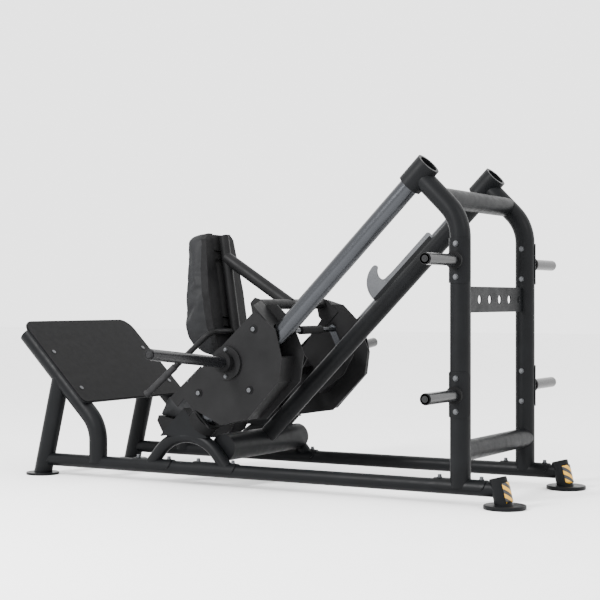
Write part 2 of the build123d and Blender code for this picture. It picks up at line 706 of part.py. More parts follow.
# ---- plate horns ----
def horn_point(side, distance):
    """Point on the horn's axis at a distance out from the outer plate."""
    return Vector(HORN_X, side * (OUTER_PLATE_Y + distance * math.cos(HORN_TILT)),
                  HORN_BASE_HEIGHT + distance * math.sin(HORN_TILT))


def horn_length():
    return (HORN_TIP_Y - OUTER_PLATE_Y) / math.cos(HORN_TILT)


def horn_root():
    """Length of the horn's narrower root, which ends at the collar's face."""
    return HORN_FLANGE + 8 + HORN_COLLAR_LENGTH


def horn(side):
    """Plate horn on its round flange, tilted up so that plates stay on."""
    base = Vector(HORN_X, side * OUTER_PLATE_Y, HORN_BASE_HEIGHT)
    flange = rod(base, base + Vector(0, side * HORN_FLANGE, 0), HORN_FLANGE_DIA)
    bar = rod(horn_point(side, -2), horn_point(side, horn_root()), HORN_DIA - 2)
    bar += rod(horn_point(side, horn_root()), horn_point(side, horn_length() - 5), HORN_DIA)
    bar += rod(horn_point(side, horn_length() - 5), horn_point(side, horn_length()), HORN_DIA - 8)
    bar -= box((HORN_X - 60, HORN_X + 60), across(side, OUTER_PLATE_Y - 60, OUTER_PLATE_Y),
               (HORN_BASE_HEIGHT - 60, HORN_BASE_HEIGHT + 60))
    return flange + bar


def horn_collar(side):
    """Rubber ring that the first plate rests against."""
    ring = rod(horn_point(side, HORN_FLANGE + 8), horn_point(side, horn_root()), HORN_COLLAR_DIA)
    return ring - rod(horn_point(side, 0), horn_point(side, 100), HORN_DIA - 2)


def sled_bolts():
    """Bolts of the horn flanges and of the strips on the carriages."""
    pieces = []
    for side in (-1, 1):
        for along in (-1739, -1682):
            pieces.append(hex_bolt(on_slope(along, 172, side * (OUTER_PLATE_Y - SLED_PLATE)), (0, side, 0),
                                   head=9, height=6, washer=10))
        for step in (-61, 61):
            pieces.append(hex_bolt((HORN_X, side * (OUTER_PLATE_Y + HORN_FLANGE), HORN_BASE_HEIGHT + step),
                                   (0, side, 0), head=17, height=8, washer=20))
    return pieces


# ---- sled cross members, seat and backrest ----
def sled_cross_tube():
    """Cross tube over the carriages, with the two bracket plates that hold it."""
    tube = pipe((CROSS_TUBE_X, -CROSS_TUBE_REACH, CROSS_TUBE_HEIGHT),
                (CROSS_TUBE_X, CROSS_TUBE_REACH, CROSS_TUBE_HEIGHT), CROSS_TUBE_DIA, 3)
    return tube


def cross_brackets():
    """Plates on the inner side plates that the cross tube's ends are welded to."""
    outline = [(-1330, 120), (-1236, 120), (-1236, 205), (-1256, 240), (-1290, 240), (-1330, 180)]
    pieces = []
    for side in (-1, 1):
        plate = slab(outline, *across(side, INNER_PLATE_Y - SLED_PLATE - 6, INNER_PLATE_Y - SLED_PLATE))
        plate -= rod(on_slope(*roller_places()[0], -400), on_slope(*roller_places()[0], 400), 44)
        pieces.append(plate)
    return pieces


def sled_beam(along):
    """Box section between the inner plates."""
    reach = INNER_PLATE_Y - SLED_PLATE
    low, high = BEAM_DEPTH
    outer = slope_box(along, (low, high), (-reach, reach))
    outer -= slope_box((along[0] + 4, along[1] - 4), (low + 4, high - 4), (-reach - 1, reach + 1))
    for side in (-1, 1):
        outer -= rod(on_slope(UPPER_ROLLERS[1], ROLLER_OFFSET, side * 280),
                     on_slope(UPPER_ROLLERS[1], ROLLER_OFFSET, side * 330), 44)
    return max(outer.solids(), key=lambda piece: piece.volume)


def seat_arms():
    """Two plates from the front beam to the seat tray."""
    beam_low = on_slope(FRONT_BEAM[0], BEAM_DEPTH[0], 0)
    beam_high = on_slope(FRONT_BEAM[0], BEAM_DEPTH[1], 0)
    outline = [(-470.0, 221.5), (-396.0, 255.5), (-360.0, 300.0), (beam_high.X, beam_high.Z),
               (beam_low.X, beam_low.Z), (-300.0, 232.0), (-360.0, 196.0), (-470.0, 196.0)]
    return [profile(outline, *across(side, 60, 68)) for side in (-1, 1)]


def back_tube_x(z):
    """X of the back tube's axis at a height."""
    return BACK_REAR_X + BACK_TUBE_DIA / 2 + 2 - (z - HANDLE_HEIGHT) * math.tan(BACK_LEAN)


def back_tube_core():
    return rod((back_tube_x(390), 0, 390), (back_tube_x(1185), 0, 1185), BACK_TUBE_DIA)


def back_tube():
    """Upright tube behind the backrest, standing on the front beam."""
    tube = pipe((back_tube_x(390), 0, 390), (back_tube_x(1185), 0, 1185), BACK_TUBE_DIA, BACK_TUBE_WALL)
    tube -= slope_box((-2100, -1400), (-300, BEAM_DEPTH[1]), (-100, 100))
    return max(tube.solids(), key=lambda piece: piece.volume)


def brace():
    """Tube from the back tube down to the cross tube."""
    start = (back_tube_x(1078), 0, 1078)
    end = (CROSS_TUBE_X, 0, CROSS_TUBE_HEIGHT)
    tube = pipe(start, end, BRACE_DIA, 3)
    tube -= back_tube_core()
    tube -= rod((CROSS_TUBE_X, -200, CROSS_TUBE_HEIGHT), (CROSS_TUBE_X, 200, CROSS_TUBE_HEIGHT),
                CROSS_TUBE_DIA)
    return max(tube.solids(), key=lambda piece: piece.volume)


def back_plane(depth):
    """Plane parallel to the backrest; depth is forward from the shell's rear face."""
    forward = Vector(-math.cos(BACK_LEAN), 0, -math.sin(BACK_LEAN))
    origin = Vector(BACK_REAR_X, 0, HANDLE_HEIGHT) + forward * depth
    return Plane(origin=origin, x_dir=(0, -1, 0), z_dir=forward)


def back_outline():
    """Backrest outline, narrower at the top, in the back plane's own X and Y."""
    low = BACK_BOTTOM - HANDLE_HEIGHT
    high = BACK_TOP - HANDLE_HEIGHT
    wide = BACK_HALF_WIDTH
    top = wide - 35
    half = [(wide - 50, low), (wide - 14, low + 70), (wide, low + 190), (wide, low + 330),
            (top, high - 28), (top - 30, high)]
    return half + [(-across_back, up) for across_back, up in reversed(half)]


def back_solid(start, depth):
    face = make_face(Polyline(*back_outline(), close=True))
    plane = back_plane(start)
    return extrude(plane * face, amount=depth)


def back_shell():
    """Rear shell of the backrest with a channel down its middle for the tube."""
    shell = back_solid(0, BACK_SHELL)
    groove = back_plane(-1) * Box(2 * BACK_GROOVE, 1400, BACK_SHELL - 8 + 1,
                                  align=(Align.CENTER, Align.CENTER, Align.MIN))
    return shell - groove


def back_cushion():
    """Cushion that is thickest above the hips and thins to the top and the bottom."""
    deep = back_solid(BACK_SHELL, 125)
    front = [(to_back(up, depth).X, to_back(up, depth).Z) for up, depth in BACK_FRONT]
    side_view = profile([*front, (BACK_REAR_X + 150, BACK_BOTTOM - 60), (BACK_REAR_X, BACK_TOP + 60)],
                        -BACK_HALF_WIDTH - 20, BACK_HALF_WIDTH + 20)
    return max((deep & side_view).solids(), key=lambda piece: piece.volume)


def to_back(up, depth):
    """World point from a height along the backrest and a depth in front of the shell's rear face."""
    plane = back_plane(depth)
    return plane.origin + plane.y_dir * up


def back_brackets():
    """Two pairs of small plates that hold the shell to the tube."""
    pieces = []
    for height in (745.0, 790.0, 1075.0, 1120.0):
        centre = back_plane(0).origin + Vector(-math.sin(BACK_LEAN), 0, math.cos(BACK_LEAN)) * (
            height - HANDLE_HEIGHT)
        plate = Plane(origin=centre, x_dir=(0, -1, 0), z_dir=back_plane(0).z_dir) * Box(
            2 * BACK_GROOVE - 20, 5, BACK_SHELL - 8, align=(Align.CENTER, Align.CENTER, Align.MIN))
        plate -= back_tube_core()
        pieces.append(max(plate.solids(), key=lambda piece: piece.volume))
    return pieces


def seat_pad():
    return profile(SEAT_PROFILE, -SEAT_HALF_WIDTH, SEAT_HALF_WIDTH)


def seat_tray():
    """Folded steel tray under the seat."""
    return profile(SEAT_TRAY_PROFILE, -SEAT_HALF_WIDTH + 4, SEAT_HALF_WIDTH - 4)


def handle_bar():
    """One bent bar across the back tube, with a grip running down each side of the seat."""
    x = BACK_REAR_X + HANDLE_DIA / 2 + 4
    grip = (-650.0, 270.0, 410.0)
    points = [(grip[0], -grip[1], grip[2]), (x, -212, HANDLE_HEIGHT), (x, 212, HANDLE_HEIGHT),
              (grip[0], grip[1], grip[2])]
    bar = bent(points, 60, HANDLE_DIA)
    return bar - back_tube_core()


# ---- catch yoke ----
def yoke_rod_place():
    along = YOKE_PIVOT[0] + YOKE_RADIUS * math.cos(YOKE_REST_ANGLE)
    above = YOKE_PIVOT[1] + YOKE_RADIUS * math.sin(YOKE_REST_ANGLE)
    return along, above


def yoke():
    """Two swinging arms joined by the steel catch rod."""
    along, above = yoke_rod_place()
    bar = rod(on_slope(along, above, -YOKE_ARM_Y - 14), on_slope(along, above, YOKE_ARM_Y + 14),
              YOKE_ROD_DIA)
    for side in (-1, 1):
        y = across(side, YOKE_ARM_Y, YOKE_ARM_Y + YOKE_ARM)
        for place, size in ((YOKE_PIVOT, 44), ((along, above), 40)):
            bar += rod(on_slope(*place, y[0]), on_slope(*place, y[1]), size)
        ends = Vector(along, above) - Vector(*YOKE_PIVOT)
        square = Vector(-ends.Y, ends.X).normalized() * 16
        start, stop = Vector(*YOKE_PIVOT), Vector(along, above)
        outline = [start + square, start - square, stop - square, stop + square]
        bar += slab([(p.X, p.Y) for p in outline], *y)
    bar -= rod(on_slope(*YOKE_PIVOT, -300), on_slope(*YOKE_PIVOT, 300), 14.1)
    return bar


def yoke_sleeve():
    """Rubber sleeve on the middle of the catch rod."""
    along, above = yoke_rod_place()
    half = YOKE_SLEEVE_LENGTH / 2
    sleeve = rod(on_slope(along, above, -half), on_slope(along, above, half), YOKE_SLEEVE_DIA)
    return sleeve - rod(on_slope(along, above, -half - 1), on_slope(along, above, half + 1), YOKE_ROD_DIA)


def yoke_lugs():
    """Folded plates inside the inner side plates that carry the yoke's pivots."""
    pieces = []
    for side in (-1, 1):
        y = across(side, YOKE_ARM_Y + YOKE_ARM + 2, YOKE_ARM_Y + YOKE_ARM + 8)
        outline = [(-1290, -120), (-1290, -60), (-1340, -40), (-1560, -40), (-1560, -120), (-1400, -150)]
        lug = slab(outline, *y)
        foot = slope_box((-1560, -1400), (-120, -114), across(side, YOKE_ARM_Y + YOKE_ARM + 8,
                                                              INNER_PLATE_Y - SLED_PLATE))
        lug = lug + foot
        lug -= rod(on_slope(*YOKE_PIVOT, -400), on_slope(*YOKE_PIVOT, 400), 14)
        pieces.append(lug)
    return pieces


def yoke_pins():
    """Pivot bolts with large black washers on their inner ends."""
    pieces = []
    for side in (-1, 1):
        start = side * (YOKE_ARM_Y - 6)
        bar = rod(on_slope(*YOKE_PIVOT, start), on_slope(*YOKE_PIVOT, side * (YOKE_ARM_Y + 30)), 14)
        head = hex_bolt(on_slope(*YOKE_PIVOT, side * (YOKE_ARM_Y - 0.5)), (0, -side, 0), head=22,
                        height=11, washer=40)
        pieces.append(bar + head)
    return pieces


# ---- every node, by name ----
def nodes():
    parts = {}
    for name, side in SIDES.items():
        y = side * HALF_GAUGE
        parts[f"rear_post_{name}"] = rear_post(y)
        parts[f"curved_leg_{name}"] = curved_leg(y)
        parts[f"arch_{name}"] = arch(y)
        parts[f"outer_carriage_{name}"] = outer_carriage(side)
        parts[f"plate_horn_{name}"] = horn(side)
        parts[f"storage_pegs_{name}"] = group(storage_peg(side, height) for height in PEG_HEIGHTS)
        for place, (along, above) in zip(("top", "low", "under"), roller_places()):
            parts[f"roller_{place}_{name}"] = roller(side, along, above)
    both = (-HALF_GAUGE, HALF_GAUGE)
    parts["base_rails"] = group(base_rail(y) for y in both)
    parts["guide_rails"] = group(guide_rail(y) for y in both)
    parts["leaning_legs"] = group(leaning_leg(y) for y in both)
    parts["rail_sockets"] = group(rail_socket(y) for y in both)
    parts["rail_brackets"] = group(rail_bracket(y) for y in both)
    parts["rear_feet"] = group(rear_foot(y) for y in both)
    parts["rear_stubs"] = group(rear_stub(y) for y in both)
    parts["stub_caps"] = group(stub_cap(y) for y in both)
    parts["front_feet"] = group(front_foot(y) for y in both)
    parts["saddles"] = group(piece for y in both for piece in saddles(y))
    parts["frame_bolts"] = group([*saddle_bolts(both[0]), *saddle_bolts(both[1]), *peg_bolts(),
                                  *hook_bolts()])
    parts["upper_crossbar"] = cross_tube(upper_cross_x(), UPPER_CROSS_HEIGHT, post_cores())
    parts["lower_crossbar"] = cross_tube(POST_X, LOWER_CROSS_HEIGHT, post_cores())
    parts["tie_plate"] = tie_plate()
    parts["footplate"] = footplate()
    parts["footplate_mat"] = footplate_mat()
    parts["footplate_screws"] = group(footplate_screws())
    parts["centre_tube"] = centre_tube()
    parts["bumpers"] = group(bumper(y) for y in both)
    parts["centre_strut"] = strut()
    parts["strut_keel"] = strut_keel()
    parts["safety_hook"] = safety_hook()
    parts["inner_carriages"] = group(inner_carriage(side) for side in (-1, 1))
    parts["roller_axles"] = group(roller_axle(side, *place) for side in (-1, 1) for place in roller_places())
    parts["axle_spacers"] = group(piece for side in (-1, 1) for place in roller_places()
                                  for piece in axle_spacers(side, *place))
    parts["horn_collars"] = group(horn_collar(side) for side in (-1, 1))
    parts["sled_bolts"] = group(sled_bolts())
    parts["sled_cross_tube"] = sled_cross_tube()
    parts["sled_brackets"] = group([*cross_brackets(), *back_brackets(), end_flange(-1), end_flange(1),
                                    stop_plate(-1), stop_plate(1)])
    parts["sled_beams"] = group([sled_beam(FRONT_BEAM), sled_beam(MID_BEAM)])
    parts["seat_arms"] = group(seat_arms())
    parts["back_tube"] = back_tube()
    parts["back_brace"] = brace()
    parts["back_shell"] = back_shell()
    parts["back_cushion"] = back_cushion()
    parts["seat_tray"] = seat_tray()
    parts["seat_pad"] = seat_pad()
    parts["handle_bar"] = handle_bar()
    parts["catch_yoke"] = yoke()
    parts["catch_sleeve"] = yoke_sleeve()
    parts["yoke_fittings"] = group(yoke_lugs() + yoke_pins())
    return parts


os.makedirs("parts", exist_ok=True)
for node_name, shape in nodes().items():
    export_step(shape, f"parts/{node_name}.step")
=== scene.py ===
"""Leg press machine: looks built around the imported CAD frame. Metres, +Z up, +X to the rear posts."""
import json
import math

import bmesh
import bpy
from mathutils import Matrix, Vector


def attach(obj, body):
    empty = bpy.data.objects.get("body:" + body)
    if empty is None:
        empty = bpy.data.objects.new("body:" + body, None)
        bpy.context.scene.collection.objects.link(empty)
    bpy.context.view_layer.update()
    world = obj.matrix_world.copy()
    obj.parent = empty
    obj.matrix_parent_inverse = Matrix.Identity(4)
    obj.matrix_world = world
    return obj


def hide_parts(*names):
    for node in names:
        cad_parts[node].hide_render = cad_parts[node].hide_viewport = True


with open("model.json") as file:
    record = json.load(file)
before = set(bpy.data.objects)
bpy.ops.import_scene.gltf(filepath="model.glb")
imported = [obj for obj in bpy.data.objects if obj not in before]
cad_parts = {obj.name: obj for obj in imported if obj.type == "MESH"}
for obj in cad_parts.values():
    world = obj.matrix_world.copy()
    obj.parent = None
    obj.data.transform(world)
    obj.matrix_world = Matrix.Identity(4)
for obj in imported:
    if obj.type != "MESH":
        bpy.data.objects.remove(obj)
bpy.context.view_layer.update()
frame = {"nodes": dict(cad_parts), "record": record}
NODES = frame["nodes"]


# ---------------------------------------------------------------- materials
def new_material(name):
    """An empty node material with a Principled shader; returns the material, its tree and shader."""
    mat = bpy.data.materials.new(name)
    mat.use_nodes = True
    tree = mat.node_tree
    return mat, tree, tree.nodes["Principled BSDF"]


def node(tree, kind, **values):
    """Adds a shader node and sets its properties or sockets by name."""
    made = tree.nodes.new(kind)
    for key, value in values.items():
        if hasattr(made, key):
            setattr(made, key, value)
        else:
            made.inputs[key.replace("_", " ").title()].default_value = value
    return made


def coords(tree, stretch=(1, 1, 1)):
    """Object coordinates in metres, optionally stretched."""
    where = node(tree, "ShaderNodeTexCoord")
    scale = node(tree, "ShaderNodeMapping")
    scale.inputs["Scale"].default_value = stretch
    tree.links.new(where.outputs["Object"], scale.inputs["Vector"])
    return scale.outputs["Vector"]


def noise_tex(tree, vector, scale, detail=4.0, rough=0.55):
    tex = node(tree, "ShaderNodeTexNoise")
    tex.inputs["Scale"].default_value = scale
    tex.inputs["Detail"].default_value = detail
    tex.inputs["Roughness"].default_value = rough
    tree.links.new(vector, tex.inputs["Vector"])
    return tex.outputs["Fac"]


def ramp(tree, fac, stops):
    """Colour ramp from (position, colour) stops; a number stands for a grey."""
    made = node(tree, "ShaderNodeValToRGB")
    elements = made.color_ramp.elements
    while len(elements) < len(stops):
        elements.new(0.5)
    for element, (place, colour) in zip(elements, stops):
        element.position = place
        if not isinstance(colour, tuple):
            colour = (colour, colour, colour)
        element.color = (*colour, 1.0)
    tree.links.new(fac, made.inputs["Fac"])
    return made.outputs["Color"]


def blend_colours(tree, fac, first, second, mode="MIX"):
    mix = node(tree, "ShaderNodeMix", data_type="RGBA", blend_type=mode)
    for socket, value in ((mix.inputs[0], fac), (mix.inputs[6], first), (mix.inputs[7], second)):
        if hasattr(value, "is_output"):
            tree.links.new(value, socket)
        elif isinstance(value, tuple):
            socket.default_value = (*value, 1.0)
        else:
            socket.default_value = value
    return mix.outputs[2]


def bumped(tree, shader, height, strength, distance):
    bump = node(tree, "ShaderNodeBump")
    bump.inputs["Strength"].default_value = strength
    bump.inputs["Distance"].default_value = distance
    tree.links.new(height, bump.inputs["Height"])
    tree.links.new(bump.outputs["Normal"], shader.inputs["Normal"])


def edge_mask(tree, radius):
    """1 along sharp convex edges, from a bevelled normal set against the real one."""
    bevel = node(tree, "ShaderNodeBevel", samples=4)
    bevel.inputs["Radius"].default_value = radius
    real = node(tree, "ShaderNodeNewGeometry")
    dot = node(tree, "ShaderNodeVectorMath", operation="DOT_PRODUCT")
    tree.links.new(bevel.outputs["Normal"], dot.inputs[0])
    tree.links.new(real.outputs["True Normal"], dot.inputs[1])
    return ramp(tree, dot.outputs["Value"], [(0.70, 1.0), (0.94, 0.0)])


# Matt coatings under an even white studio: a low index keeps glancing faces dark
COATING_IOR = 1.17


def powder_coat(name, colour, sheen_rough=0.42, texture=0.35):
    """Satin powder coat: fine orange-peel, faint clouding, lighter rubbed edges."""
    mat, tree, shader = new_material(name)
    at = coords(tree)
    cloud = noise_tex(tree, at, 9.0, 5.0)
    darker = tuple(c * 0.80 for c in colour)
    lighter = tuple(c * 1.18 for c in colour)
    base = ramp(tree, cloud, [(0.30, darker), (0.70, lighter)])
    worn = tuple(min(1.0, c * 2.6 + 0.006) for c in colour)
    patchy = noise_tex(tree, at, 60.0, 3.0)
    mask = blend_colours(tree, 1.0, edge_mask(tree, 0.0025), ramp(tree, patchy, [(0.40, 0.0), (0.62, 0.75)]),
                         "MULTIPLY")
    tree.links.new(blend_colours(tree, mask, base, worn), shader.inputs["Base Color"])
    smudge = noise_tex(tree, at, 26.0, 4.0)
    tree.links.new(ramp(tree, smudge, [(0.3, sheen_rough - 0.06), (0.7, sheen_rough + 0.08)]),
                   shader.inputs["Roughness"])
    shader.inputs["Metallic"].default_value = 0.0
    shader.inputs["IOR"].default_value = COATING_IOR
    peel = noise_tex(tree, at, 900.0, 2.0)
    bumped(tree, shader, peel, texture, 0.00035)
    return mat


def polished(name, colour, rough, along=(1, 1, 1), metallic=1.0, ior=1.5):
    """Polished or plated steel with fine draw lines and handling marks."""
    mat, tree, shader = new_material(name)
    at = coords(tree, along)
    fine = noise_tex(tree, at, 240.0, 3.0)
    tint = ramp(tree, noise_tex(tree, at, 8.0, 3.0), [(0.3, tuple(c * 0.90 for c in colour)), (0.7, colour)])
    tree.links.new(tint, shader.inputs["Base Color"])
    tree.links.new(ramp(tree, fine, [(0.30, rough * 0.7), (0.72, rough * 1.5)]), shader.inputs["Roughness"])
    shader.inputs["Metallic"].default_value = metallic
    shader.inputs["IOR"].default_value = ior
    bumped(tree, shader, fine, 0.06, 0.0002)
    return mat


def galvanised(name, colour, rough=0.42):
    """Zinc plate with a soft spangle."""
    mat, tree, shader = new_material(name)
    at = coords(tree)
    cells = node(tree, "ShaderNodeTexVoronoi")
    cells.inputs["Scale"].default_value = 120.0
    tree.links.new(at, cells.inputs["Vector"])
    spangle = ramp(tree, cells.outputs["Distance"], [(0.1, tuple(c * 0.82 for c in colour)), (0.8, colour)])
    cloud = noise_tex(tree, at, 22.0, 4.0)
    tree.links.new(blend_colours(tree, cloud, spangle, colour), shader.inputs["Base Color"])
    tree.links.new(ramp(tree, cloud, [(0.3, rough - 0.08), (0.7, rough + 0.10)]), shader.inputs["Roughness"])
    shader.inputs["Metallic"].default_value = 0.9
    bumped(tree, shader, noise_tex(tree, at, 320.0, 3.0), 0.12, 0.0003)
    return mat


def rubbery(name, colour, rough, grain, depth):
    """Moulded rubber or plastic with a fine grain and dusty highs."""
    mat, tree, shader = new_material(name)
    at = coords(tree)
    dust = noise_tex(tree, at, 30.0, 5.0)
    tree.links.new(ramp(tree, dust, [(0.35, colour), (0.75, tuple(c * 1.6 + 0.001 for c in colour))]),
                   shader.inputs["Base Color"])
    speck = noise_tex(tree, at, grain, 3.0)
    tree.links.new(ramp(tree, speck, [(0.3, rough - 0.07), (0.7, rough + 0.09)]), shader.inputs["Roughness"])
    shader.inputs["IOR"].default_value = COATING_IOR
    bumped(tree, shader, speck, 0.30, depth)
    return mat


def vinyl(name, colour):
    """Upholstery vinyl: pebbled grain, soft sheen, faint shade changes."""
    mat, tree, shader = new_material(name)
    at = coords(tree)
    pebbles = node(tree, "ShaderNodeTexVoronoi", feature="SMOOTH_F1")
    pebbles.inputs["Scale"].default_value = 620.0
    tree.links.new(at, pebbles.inputs["Vector"])
    shade = noise_tex(tree, at, 12.0, 4.0)
    darker = tuple(c * 0.85 for c in colour)
    lighter = tuple(c * 1.15 for c in colour)
    tree.links.new(ramp(tree, shade, [(0.3, darker), (0.7, lighter)]), shader.inputs["Base Color"])
    tree.links.new(ramp(tree, pebbles.outputs["Distance"], [(0.0, 0.42), (0.8, 0.60)]),
                   shader.inputs["Roughness"])
    shader.inputs["IOR"].default_value = COATING_IOR
    shader.inputs["Sheen Weight"].default_value = 0.01
    shader.inputs["Sheen Roughness"].default_value = 0.5
    bumped(tree, shader, pebbles.outputs["Distance"], 0.35, 0.0006)
    return mat


CHARCOAL = (0.0036, 0.0039, 0.0044)
SLED_GREY = (0.0062, 0.0062, 0.0065)
MATS = {
    "frame_paint": powder_coat("frame powder coat", CHARCOAL),
    "sled_paint": powder_coat("sled powder coat", SLED_GREY, 0.46, 0.4),
    "polished_steel": polished("polished steel", (0.042, 0.044, 0.048), 0.24),
    "plated_steel": galvanised("zinc plate", (0.066, 0.068, 0.072)),
    "black_rubber": rubbery("black rubber", (0.0028, 0.0028, 0.0030), 0.66, 480.0, 0.0005),
    "black_plastic": rubbery("moulded black plastic", (0.0032, 0.0032, 0.0035), 0.52, 700.0, 0.0003),
    "roller_nylon": rubbery("roller nylon", (0.006, 0.006, 0.0063), 0.44, 300.0, 0.0002),
    "upholstery": vinyl("upholstery vinyl", (0.0095, 0.0098, 0.0105)),
}
for part in frame["record"]["subparts"]:
    owner = NODES.get(part["node"])
    if owner is None:
        continue
    owner.data.materials.clear()
    owner.data.materials.append(MATS[part["material_slot"]])


# ---------------------------------------------------------------- piece helpers
def link(obj):
    bpy.context.scene.collection.objects.link(obj)
    return obj


def from_bmesh(name, bm, material, smooth=True):
    mesh = bpy.data.meshes.new(name)
    bmesh.ops.recalc_face_normals(bm, faces=bm.faces)
    bm.to_mesh(mesh)
    bm.free()
    mesh.materials.append(material)
    if smooth:
        mesh.shade_smooth()
    return link(bpy.data.objects.new(name, mesh))


def axis_matrix(origin, direction):
    """Matrix whose local Z runs along a direction from an origin."""
    turn = Vector(direction).normalized().to_track_quat("Z", "Y").to_matrix().to_4x4()
    return Matrix.Translation(Vector(origin)) @ turn


def lathe(name, origin, direction, profile, material, segments=48):
    """Solid of revolution from (distance along, radius) points."""
    bm = bmesh.new()
    place = axis_matrix(origin, direction)
    rings = []
    for along, radius in profile:
        ring = []
        for k in range(segments):
            turn = 2 * math.pi * k / segments
            spot = Vector((radius * math.cos(turn), radius * math.sin(turn), along))
            ring.append(bm.verts.new(place @ spot))
        rings.append(ring)
    for low, high in zip(rings, rings[1:]):
        for k in range(segments):
            bm.faces.new((low[k], low[(k + 1) % segments], high[(k + 1) % segments], high[k]))
    bm.faces.new(rings[0])
    bm.faces.new(rings[-1])
    made = from_bmesh(name, bm, material)
    hard = made.modifiers.new("edges", "EDGE_SPLIT")
    hard.split_angle = math.radians(40)
    return made


def settled(obj, name):
    """Mesh of an object with its modifiers applied."""
    graph = bpy.context.evaluated_depsgraph_get()
    mesh = bpy.data.meshes.new_from_object(obj.evaluated_get(graph))
    mesh.name = name
    return mesh


def apply_modifiers(obj):
    mesh = settled(obj, obj.name)
    obj.modifiers.clear()
    obj.data = mesh


def slope_point(along, above, y):
    """Place from a distance along the rails, a height square to them, and Y, in metres."""
    half = math.sqrt(0.5)
    return Vector((1.050 + (along - above) * half, y, 1.599 + (along + above) * half))


# ---------------------------------------------------------------- parts with more than one finish
def dressed(node_name, body, finishes):
    """A copy that stands for a CAD node, with a finish per face; the CAD mesh stays as it is.

    Each finish is (material, test of a face's centre), and a later one wins.
    """
    mesh = NODES[node_name].data.copy()
    mesh.materials.clear()
    for material, _ in finishes:
        mesh.materials.append(material)
    for face in mesh.polygons:
        for index, (_, chosen) in enumerate(finishes):
            if chosen(face.center):
                face.material_index = index
    piece = link(bpy.data.objects.new(f"{node_name}_finished", mesh))
    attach(piece, body)
    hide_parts(node_name)
    return piece


def away_from_line(point, origin, direction):
    offset = point - origin
    return (offset - direction * offset.dot(direction)).length


ACROSS = Vector((0.0, 1.0, 0.0))
HORN_TILT = math.radians(5.5)
HORN_PLATE_REACH = 0.4465
PEG_WRAP_REACH = 0.4235
PEG_COLLAR_REACH = 0.4505
PEG_RADIUS = 0.0252
PEG_HEIGHTS = (1.036, 0.470)
AXLES = [(-1.309, 0.090), (-1.731, 0.090), (-1.520, -0.090)]
dark_steel = polished("gunmetal steel", (0.006, 0.0062, 0.0068), 0.24, metallic=0.0, ior=1.30)


def anywhere(centre):
    return True


def on_horn_plate(centre):
    return abs(centre.y) < HORN_PLATE_REACH


def on_peg_wrap(centre):
    return abs(centre.y) < PEG_WRAP_REACH


def on_peg_collar(centre):
    if not PEG_WRAP_REACH < abs(centre.y) < PEG_COLLAR_REACH:
        return False
    return min(away_from_line(centre, Vector((1.05, 0, h)), ACROSS) for h in PEG_HEIGHTS) > PEG_RADIUS


def on_axle_washer(centre):
    return min(away_from_line(centre, slope_point(a, n, 0.0), ACROSS) for a, n in AXLES) > 0.0112


for tag in ("near", "far"):
    dressed(f"plate_horn_{tag}", "sled",
            [(dark_steel, anywhere), (MATS["sled_paint"], on_horn_plate)])
    dressed(f"storage_pegs_{tag}", "frame",
            [(dark_steel, anywhere), (MATS["frame_paint"], on_peg_wrap),
             (MATS["black_rubber"], on_peg_collar)])
dressed("roller_axles", "sled",
        [(MATS["plated_steel"], anywhere), (MATS["black_rubber"], on_axle_washer)])

# ---------------------------------------------------------------- backrest and seat
BACK_LEAN = math.radians(8.5)
BACK_UP = Vector((-math.sin(BACK_LEAN), 0.0, math.cos(BACK_LEAN)))
BACK_FORWARD = Vector((-math.cos(BACK_LEAN), 0.0, -math.sin(BACK_LEAN)))
BACK_ORIGIN = Vector((-0.337, 0.0, 0.717))
CHANNEL_HALF = 0.060


def back_depth(point):
    """Distance in front of the back shell's rear face."""
    return (point - BACK_ORIGIN).dot(BACK_FORWARD)


def inflate(pad, pressure, cap, frames=20):
    """Cloth pressure puffs the cover out; no point moves further than the cap."""
    start = [v.co.copy() for v in pad.data.vertices]
    cloth = pad.modifiers.new("puff", "CLOTH")
    cloth.settings.use_pressure = True
    cloth.settings.uniform_pressure_force = pressure
    cloth.settings.effector_weights.gravity = 0.0
    cloth.settings.quality = 5
    cloth.settings.mass = 0.3
    cloth.settings.tension_stiffness = 25
    cloth.settings.compression_stiffness = 25
    cloth.settings.shear_stiffness = 10
    cloth.settings.bending_stiffness = 2.0
    cloth.point_cache.frame_start = 1
    cloth.point_cache.frame_end = frames
    for step in range(1, frames + 1):
        bpy.context.scene.frame_set(step)
    puffed = settled(pad, pad.name)
    pad.modifiers.remove(cloth)
    bpy.context.scene.frame_set(1)
    for v, new, old in zip(pad.data.vertices, puffed.vertices, start):
        move = new.co - old
        if move.length > cap:
            move *= cap / move.length
        v.co = old + move
    bpy.data.meshes.remove(puffed)
    calm = pad.modifiers.new("calm", "SMOOTH")
    calm.factor = 0.5
    calm.iterations = 9
    apply_modifiers(pad)


def rounded_form(name, node_name, voxel, shrink, smoothing):
    """Closed padded form grown from a CAD block: remeshed, eased round and a little smaller."""
    mesh = NODES[node_name].data.copy()
    mesh.materials.clear()
    pad = link(bpy.data.objects.new(name, mesh))
    remesh = pad.modifiers.new("grid", "REMESH")
    remesh.mode = "VOXEL"
    remesh.voxel_size = voxel
    ease = pad.modifiers.new("ease", "SMOOTH")
    ease.factor = 0.5
    ease.iterations = smoothing
    apply_modifiers(pad)
    if shrink:
        for v, n in [(v, v.normal.copy()) for v in pad.data.vertices]:
            v.co -= n * shrink
    return pad


def finish_pad(pad, material, levels=1):
    subdivide = pad.modifiers.new("fine", "SUBSURF")
    subdivide.levels = subdivide.render_levels = levels
    apply_modifiers(pad)
    pad.data.materials.clear()
    pad.data.materials.append(material)
    pad.data.shade_smooth()


